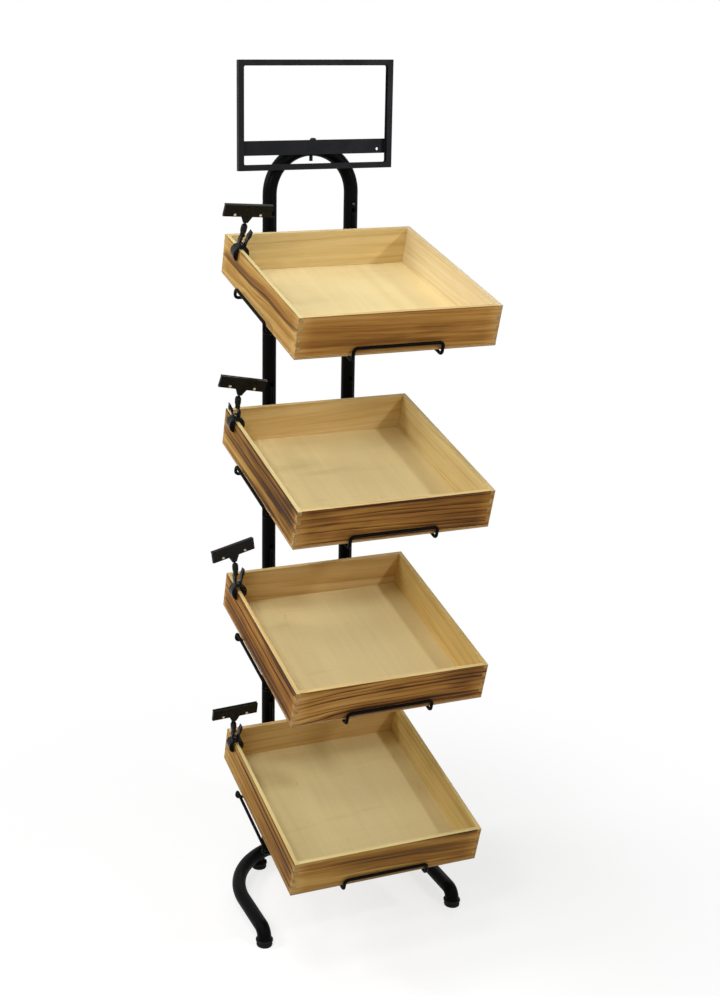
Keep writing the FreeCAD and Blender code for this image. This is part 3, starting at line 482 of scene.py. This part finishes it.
SAME_POINT = 1e-6                    # closer corners are one
FLAT_ANGLE = math.radians(0.5)       # faces that meet within it are one flat face
ARRIS_ANGLE = math.radians(40)       # edges sharper than it get rounded
BOARD_ARRIS = 0.0005                 # width of the rounding
FLOOR_ARRIS = 0.0003
SIGN_ARRIS = 0.0005


def ease_edges(obj, width):
    """Rounded arrises on a flat-sided CAD node; its own mesh stays as it is."""
    weld = obj.modifiers.new("weld", "WELD")
    weld.merge_threshold = SAME_POINT
    flat = obj.modifiers.new("flat", "DECIMATE")
    flat.decimate_type = "DISSOLVE"
    flat.angle_limit = FLAT_ANGLE
    bevel = obj.modifiers.new("bevel", "BEVEL")
    bevel.width = width
    bevel.segments = 2
    bevel.limit_method = "ANGLE"
    bevel.angle_limit = ARRIS_ANGLE
    obj.modifiers.new("normals", "WEIGHTED_NORMAL")


def crate_corner(tier):
    """Middle of a crate's front bottom edge."""
    low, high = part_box(f"tier{tier}_crate_floor")
    return Vector(((low.x + high.x) / 2, low.y + PLY_T * math.sin(TILT), low.z))


GREYED = (0.94, 1.04, 1.12)          # tints of torched boards that look greyer
HALF_GREYED = (0.96, 1.03, 1.0)
# Pith, spacing, wander, slope, lines, dark, patchy, vein, inner, tint, and painted end shade where it has one.
CUTS = {
    (4, "front"): Cut((0.010, -0.080), 0.0125, 0.016, 0.01, 0.14, 0.30, 0.35, 0.0, 0.35, NO_TINT),
    (3, "front"): Cut((0.190, -0.060), 0.0066, 0.014, 0.01, 0.58, 0.41, 0.60, 0.0, 0.35, NO_TINT,
                      0.16),
    (2, "front"): Cut((0.170, -0.050), 0.0080, 0.030, -0.03, 0.85, 0.29, 0.60, 0.0, 0.35, NO_TINT,
                      0.14),
    (1, "front"): Cut((0.095, -0.110), 0.0120, 0.018, 0.03, 0.30, 0.38, 0.30, 0.0, 0.35,
                      HALF_GREYED, 0.16),
    (4, "left"): Cut((0.120, -0.060), 0.0105, 0.060, -0.04, 0.22, 0.20, 0.15, 1.0, 0.35, GREYED),
    (3, "left"): Cut((0.180, -0.040), 0.0092, 0.012, 0.01, 0.50, 0.38, 0.75, 0.0, 0.35, GREYED,
                     0.07),
    (2, "left"): Cut((0.150, -0.060), 0.0088, 0.012, 0.01, 0.62, 0.48, 0.40, 0.0, 0.35, NO_TINT),
    (1, "left"): Cut((0.160, -0.070), 0.0125, 0.014, 0.02, 0.90, 0.30, 0.25, 0.0, 0.35,
                     HALF_GREYED, 0.17),
    (4, "right"): Cut((-0.06, -0.060), 0.0100, 0.026, 0.03, 0.40, 0.28, 0.60, 0.0, 0.26,
                      (0.95, 1.02, 1.25)),
    (3, "right"): Cut((-0.12, -0.050), 0.0084, 0.018, 0.02, 0.50, 0.28, 0.50, 0.0, 0.38,
                      (0.96, 1.01, 1.04)),
    (2, "right"): Cut((0.040, -0.080), 0.0095, 0.024, -0.03, 0.45, 0.28, 0.55, 0.0, 0.44,
                      (1.0, 0.99, 0.86)),
    (1, "right"): Cut((0.170, -0.060), 0.0086, 0.016, 0.02, 0.50, 0.28, 0.50, 0.0, 0.38,
                      (0.99, 1.0, 0.89)),
    (4, "back"): Cut((0.140, -0.060), 0.0092, 0.018, 0.01, 0.50, 0.28, 0.50, 0.0, 0.40,
                     (0.97, 1.0, 1.04)),
    (3, "back"): Cut((0.020, -0.090), 0.0100, 0.026, 0.04, 0.45, 0.28, 0.55, 0.0, 0.44,
                     (1.0, 0.98, 1.0)),
    (2, "back"): Cut((0.050, -0.070), 0.0095, 0.022, -0.03, 0.50, 0.28, 0.50, 0.0, 0.48,
                     (1.01, 0.97, 1.02)),
    (1, "back"): Cut((0.160, -0.060), 0.0090, 0.018, 0.02, 0.50, 0.28, 0.50, 0.0, 0.46,
                     (1.04, 0.96, 0.95)),
}
FLOOR_FRONT_SHADE = {1: 0.20, 2: 0.12, 3: 0.0, 4: 0.0}      # painted shade: share of its colour a floor loses at its front edge
BOARD_SEED = (7.3, 2.9)              # for one more tier, and for one more side
FLOOR_SEED = 3.7


def dress_crate(tier):
    """Boards and floor of one crate, each with its own cut of wood."""
    corner = crate_corner(tier)
    low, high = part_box(f"tier{tier}_crate_floor")
    width = high.x - low.x
    depth = (high.y - low.y - PLY_T * math.sin(TILT)) / math.cos(TILT)
    half = ACROSS * (width / 2)
    # Middle of each board's outer bottom edge, and its axes: along it, up it and out of it.
    frames = {
        "front": (corner, (ACROSS, OFF_FLOOR, -UP_SLOPE)),
        "back": (corner + UP_SLOPE * depth, (-ACROSS, OFF_FLOOR, UP_SLOPE)),
        "left": (corner - half + UP_SLOPE * (depth / 2), (-UP_SLOPE, OFF_FLOOR, -ACROSS)),
        "right": (corner + half + UP_SLOPE * (depth / 2), (UP_SLOPE, OFF_FLOOR, ACROSS)),
    }
    for count, (side, (origin, axes)) in enumerate(frames.items()):
        board = nodes[f"tier{tier}_crate_{side}"]
        seed = tier * BOARD_SEED[0] + count * BOARD_SEED[1]
        dress(board, pine(f"pine_{tier}_{side}", origin, axes, seed, CUTS[tier, side]))
        ease_edges(board, BOARD_ARRIS)
    floor = nodes[f"tier{tier}_crate_floor"]
    dress(floor, plywood(f"plywood_{tier}", corner, (UP_SLOPE, ACROSS, -OFF_FLOOR),
                         tier * FLOOR_SEED, FLOOR_FRONT_SHADE[tier]))
    ease_edges(floor, FLOOR_ARRIS)


for part in frame["record"]["subparts"]:
    if part["material_slot"] in FINISHES:
        dress(nodes[part["node"]], FINISHES[part["material_slot"]])
for tier in TIERS:
    dress_crate(tier)
dress(nodes["sign_frame"], SIGN_COAT)
dress(nodes["sign_bracket"], SIGN_COAT)
ease_edges(nodes["sign_frame"], SIGN_ARRIS)


# ---- Pieces that the solids leave to the scene ----------------------------------
def new_piece(name, build, material):
    """Smooth-shaded mesh piece, filled in by build(bm) in the model's frame."""
    bm = bmesh.new()
    build(bm)
    bmesh.ops.recalc_face_normals(bm, faces=bm.faces)
    data = bpy.data.meshes.new(name)
    bm.to_mesh(data)
    bm.free()
    for polygon in data.polygons:
        polygon.use_smooth = True
    piece = bpy.data.objects.new(name, data)
    bpy.context.scene.collection.objects.link(piece)
    dress(piece, material)
    return piece


BAR_SIDES = 10


def tube(bm, path, radii):
    """Round bar along points, with a radius for each and closed ends."""
    side = None
    loops = []
    for index, (point, radius) in enumerate(zip(path, radii)):
        ahead = (path[min(index + 1, len(path) - 1)] - path[max(index - 1, 0)]).normalized()
        # Each cross-section follows the one before it without a twist.
        side = ahead.orthogonal() if side is None else side - ahead * side.dot(ahead)
        side.normalize()
        other = ahead.cross(side)
        angles = [2 * math.pi * step / BAR_SIDES for step in range(BAR_SIDES)]
        loops.append([bm.verts.new(point + side * (radius * math.cos(angle))
                                   + other * (radius * math.sin(angle))) for angle in angles])
    for first, second in zip(loops, loops[1:]):
        for step in range(BAR_SIDES):
            after = (step + 1) % BAR_SIDES
            bm.faces.new((first[step], first[after], second[after], second[step]))
    bm.faces.new(loops[0])
    bm.faces.new(loops[-1])


def clip_frame(tier):
    """A card clip's own frame: origin on its pin, X across the board, Z up the fixed arm."""
    squeeze = joints[f"tier{tier}_clip_squeeze"]
    up = Vector(joints[f"tier{tier}_neck_swivel"]["axis"]).normalized()
    along = -Vector(squeeze["axis"]).normalized()
    turn = Matrix((along.cross(up), along, up)).transposed().to_4x4()
    return Matrix.Translation(Vector(squeeze["pos_m"])) @ turn


COIL_R = 0.0020
COIL_TURNS = 3                       # times that the wire passes the lever's leg
COIL_HALF_W = 0.0015
COIL_STEPS = 72
COIL_WIRE_R = 0.00052
WIRE_END_SHARE = 0.75                # of that radius, left at the wire's eased ends
LEG_RISE = 0.0088                    # leg tips above the pin
LEG_OUT = 0.0054                     # lever's leg tip beside the pin
LEG_SHARES = (0.25, 0.6, 0.98, 1.0)  # points along a leg, from the coil to its tip


def spring_path():
    """Wound wire in the clip's frame: fixed arm's leg, turns round the pin, lever's leg."""
    # The wire leaves the coil on a tangent that ends at the tip of the lever's leg.
    reach = math.hypot(LEG_OUT, LEG_RISE)
    start = math.pi
    stop = math.atan2(LEG_RISE, LEG_OUT) - math.acos(COIL_R / reach) + 2 * math.pi * COIL_TURNS
    path = [Vector((-COIL_R, -COIL_HALF_W, LEG_RISE * share)) for share in LEG_SHARES[::-1]]
    for step in range(COIL_STEPS + 1):
        share = step / COIL_STEPS
        angle = start + (stop - start) * share
        path.append(Vector((COIL_R * math.cos(angle), COIL_HALF_W * (2 * share - 1),
                            COIL_R * math.sin(angle))))
    tip = Vector((LEG_OUT, COIL_HALF_W, LEG_RISE))
    foot = path[-1]
    path += [foot.lerp(tip, share) for share in LEG_SHARES]
    return path


def clip_spring(tier):
    """Wound torsion spring in place of the solid's stacked turns."""
    place = clip_frame(tier)
    path = [place @ point for point in spring_path()]
    end = [COIL_WIRE_R * WIRE_END_SHARE]
    radii = end + [COIL_WIRE_R] * (len(path) - 2) + end
    spring = new_piece(f"tier{tier}_wound_spring", lambda bm: tube(bm, path, radii), STEEL)
    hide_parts(f"tier{tier}_clip_spring")
    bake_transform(spring)


TAB_FOOT = Vector((0.0076, 0, 0.0096))       # thumb tab's middle line, from the pin
TAB_TIP = Vector((0.0125, 0, 0.0270))
TAB_HALF_T = 0.0013
TAB_SWELL = 0.0024                   # how far the tab's middle bulges out
RIB_R = 0.0006
RIB_HALF_W = 0.0031
RIB_PLACES = (0.42, 0.53, 0.64, 0.75, 0.86)  # along the tab, from its foot
RIB_SUNK = 0.25                      # share of a rib's radius that lies in the tab
# Points of a rib, as shares of its half width, and its radius there.
RIB_PROFILE = {-1.0: 0.35, -0.93: 0.75, -0.8: 1.0, 0.8: 1.0, 0.93: 0.75, 1.0: 0.35}


def thumb_ribs(tier):
    """Moulded ribs across the outer side of the lever's thumb tab."""
    place = clip_frame(tier)
    outward = (TAB_TIP - TAB_FOOT).cross(Vector((0, 1, 0))).normalized()
    if outward.x < 0:
        outward.negate()

    def build(bm):
        for share in RIB_PLACES:
            face = TAB_HALF_T + 4 * TAB_SWELL * share * (1 - share)
            middle = TAB_FOOT.lerp(TAB_TIP, share) + outward * (face - RIB_R * RIB_SUNK)
            path = [place @ (middle + Vector((0, RIB_HALF_W * at, 0))) for at in RIB_PROFILE]
            tube(bm, path, [RIB_R * size for size in RIB_PROFILE.values()])

    ribs = new_piece(f"tier{tier}_thumb_ribs", build, PLASTIC)
    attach(ribs, f"tier{tier}_lever")


def sprung_button(side):
    """Snap button: the solid's mesh, copied in a darker steel and shown in its place.
    """
    node = nodes[f"{side}_snap_button"]
    button = bpy.data.objects.new(f"{side}_sprung_button", node.data.copy())
    bpy.context.scene.collection.objects.link(button)
    dress(button, BUTTON_STEEL)
    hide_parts(f"{side}_snap_button")
    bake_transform(button)


BEAD_HALF_W = 0.0037
BEAD_HALF_T = 0.0013
BEAD_DROP = 0.97                     # wire diameters from the crate down to a bead's middle
BEAD_LUMPS = 0.22                    # share of its size by which a bead is uneven
LUMP_FREQUENCY = 1.9                 # over a bead's half width
LUMP_SEED = 60                       # per metre, so that no two beads are alike


def rack_welds(tier):
    """Flat beads of metal squeezed out where the rack's wires are welded."""
    corner = crate_corner(tier)

    def build(bm):
        for side in (-1, 1):
            for way in (-1, 1):
                centre = (corner + ACROSS * (side * UPRIGHT_X) - OFF_FLOOR * (WIRE_D * BEAD_DROP)
                          + UP_SLOPE * (CRATE_D / 2 + way * CROSS_HALF_PITCH))
                made = bmesh.ops.create_icosphere(bm, subdivisions=3, radius=1.0)["verts"]
                for vert in made:
                    at = vert.co * LUMP_FREQUENCY + centre * LUMP_SEED
                    lumpy = 1 + BEAD_LUMPS * noise.noise(at)
                    flat = (ACROSS * (vert.co.x * BEAD_HALF_W)
                            + UP_SLOPE * (vert.co.y * BEAD_HALF_W)
                            + OFF_FLOOR * (vert.co.z * BEAD_HALF_T))
                    vert.co = centre + flat * lumpy

    welds = new_piece(f"tier{tier}_rack_welds", build, POWDER)
    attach(welds, ROOT)


WELD_R = 0.0016
WELD_RIPPLE = 0.16                   # share of its radius
RIPPLE_TURN = 1.9                    # radians of a ripple from one point to the next
WELD_STEP_DEG = 1.9
WELD_STEPS = 50                      # to either side of the socket's front
WELD_END = 0.97                      # tube radii off the tube's axis at which a bead ends


def socket_welds():
    """Rippled weld beads round the sockets, where they stand on the foot tube's bends."""
    bar_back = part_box("base_frame")[1].y - TUBE_R

    def build(bm):
        for side in (-1, 1):
            socket = Vector((STAND_X + side * UPRIGHT_X, bar_back, 0))
            bend = Vector((STAND_X + side * CORNER_X, bar_back - CORNER_R, 0))
            path = []
            # Round the socket, on top of the tube, as far as the tube lies under it.
            for step in range(-WELD_STEPS, WELD_STEPS + 1):
                angle = math.radians(step * WELD_STEP_DEG) - math.pi / 2
                point = socket + Vector((math.cos(angle), math.sin(angle), 0)) * TUBE_R
                off = abs((point - bend).length - CORNER_R)
                if off < TUBE_R * WELD_END:
                    height = BASE_AXIS + math.sqrt(TUBE_R ** 2 - off ** 2)
                    path.append(point + Vector((0, 0, height)))
            radii = [WELD_R * (1 + WELD_RIPPLE * math.sin(RIPPLE_TURN * index))
                     for index in range(len(path))]
            tube(bm, path, radii)

    welds = new_piece("socket_welds", build, POWDER)
    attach(welds, ROOT)


for tier in TIERS:
    clip_spring(tier)
    thumb_ribs(tier)
    rack_welds(tier)
for side in ("left", "right"):
    sprung_button(side)
socket_welds()


# ---- Studio ---------------------------------------------------------------------
FLOOR_RADIUS = 6.0
FLOOR_SIDES = 96
FADE_SPAN = (0.35, 1.1)              # metres from the stand, from floor to background
FLOOR_BOUNCE = (0.78, 0.78, 0.78, 1)         # the floor as it lights the stand
FLOOR_SHOWN = (0.34, 0.34, 0.34, 1)  # and as it is seen, with a steady light added to it
FLOOR_LIFT = 0.72
WHITE = (1, 1, 1, 1)
WORLD_LIGHT = 0.10


def build_floor():
    """Pale floor that takes the shadow near the stand and fades into the background."""
    bpy.ops.mesh.primitive_circle_add(vertices=FLOOR_SIDES, radius=FLOOR_RADIUS,
                                      fill_type="NGON")
    ground = bpy.context.object
    ground.name = "studio_floor"
    shader = Shader("studio_floor")
    shader.surface(Base_Color=FLOOR_BOUNCE, Roughness=0.9, Specular_IOR_Level=0.0)
    shown = shader.node("BsdfDiffuse", FLOOR_SHOWN).outputs[0]
    lift = shader.node("Emission", WHITE, FLOOR_LIFT).outputs[0]
    glow = shader.node("Emission", WHITE, 1.0).outputs[0]
    near = shader.node("AddShader", shown, lift).outputs[0]
    far = shader.span(shader.vector("LENGTH", shader.coordinate()), *FADE_SPAN)
    seen = shader.node("MixShader", far, near, glow).outputs[0]
    final = shader.node("MixShader", shader.background_rays(), shader.bsdf.outputs[0], seen)
    shader.feed(shader.tree.nodes["Material Output"].inputs["Surface"], final.outputs[0])
    dress(ground, shader.material)


def build_world():
    """Even pale light all round, and a white background where it is seen."""
    world = bpy.data.worlds.new("studio")
    bpy.context.scene.world = world
    world.use_nodes = True
    tree = Tree(world.node_tree)
    background = world.node_tree.nodes["Background"]
    strength = tree.span(tree.background_rays(), 0.0, 1.0, WORLD_LIGHT, 1.0, smooth=False)
    tree.feed(background.inputs["Color"], WHITE)
    tree.feed(background.inputs["Strength"], strength)


def lamp(name, place, target, size, power):
    """Square soft light aimed at a point."""
    data = bpy.data.lights.new(name, "AREA")
    data.size = size
    data.energy = power
    light = bpy.data.objects.new(name, data)
    light.location = place
    light.rotation_euler = (Vector(target) - Vector(place)).to_track_quat("-Z", "Y").to_euler()
    bpy.context.scene.collection.objects.link(light)


AIM = (0, 0, 0.85)                   # middle of the stand
# Name, place, what it is aimed at, side of its square and power in watts.
LAMPS = (
    ("right", (0.96, -1.42, 1.65), AIM, 0.15, 8.8),
    ("left", (-1.36, -1.95, 2.00), AIM, 0.5, 9),
    ("left_high", (-1.65, -1.39, 2.40), AIM, 0.5, 14),
    ("left_rear", (-2.12, 0.77, 2.25), AIM, 0.8, 28),
    ("high", (-0.70, -0.40, 3.25), AIM, 0.8, 22),
    ("ceiling", (-1.20, 0.45, 3.15), (0, 0.1, 0.85), 0.15, 5),
    ("rear", (1.60, 2.00, 1.90), AIM, 1.0, 12),
)

CAMERA_PLACE = (STAND_X - 0.9937, -2.1534, 1.4949)
CAMERA_TURN_DEG = (19.13, 13.36, -0.36)      # to the right, down, and round its own axis
CAMERA_LENS_MM = 50.76
CAMERA_SENSOR_MM = 36.0
CAMERA_SHIFT = (0.1440, -0.0788)


def build_camera():
    """Camera of the photograph: before the stand, to its left, and looking down on it."""
    yaw, pitch, roll = (math.radians(angle) for angle in CAMERA_TURN_DEG)
    ahead = Vector((math.sin(yaw) * math.cos(pitch), math.cos(yaw) * math.cos(pitch),
                    -math.sin(pitch)))
    level = Vector((math.cos(yaw), -math.sin(yaw), 0))
    above = level.cross(ahead)
    right = level * math.cos(roll) + above * math.sin(roll)
    up = above * math.cos(roll) - level * math.sin(roll)
    data = bpy.data.cameras.new("camera")
    data.sensor_width = CAMERA_SENSOR_MM
    data.lens = CAMERA_LENS_MM
    data.shift_x, data.shift_y = CAMERA_SHIFT
    camera = bpy.data.objects.new("camera", data)
    camera.matrix_world = (Matrix.Translation(CAMERA_PLACE)
                           @ Matrix((right, up, -ahead)).transposed().to_4x4())
    bpy.context.scene.collection.objects.link(camera)
    bpy.context.scene.camera = camera


build_floor()
build_world()
for row in LAMPS:
    lamp(*row)
build_camera()
bpy.context.scene.view_settings.view_transform = "Standard"
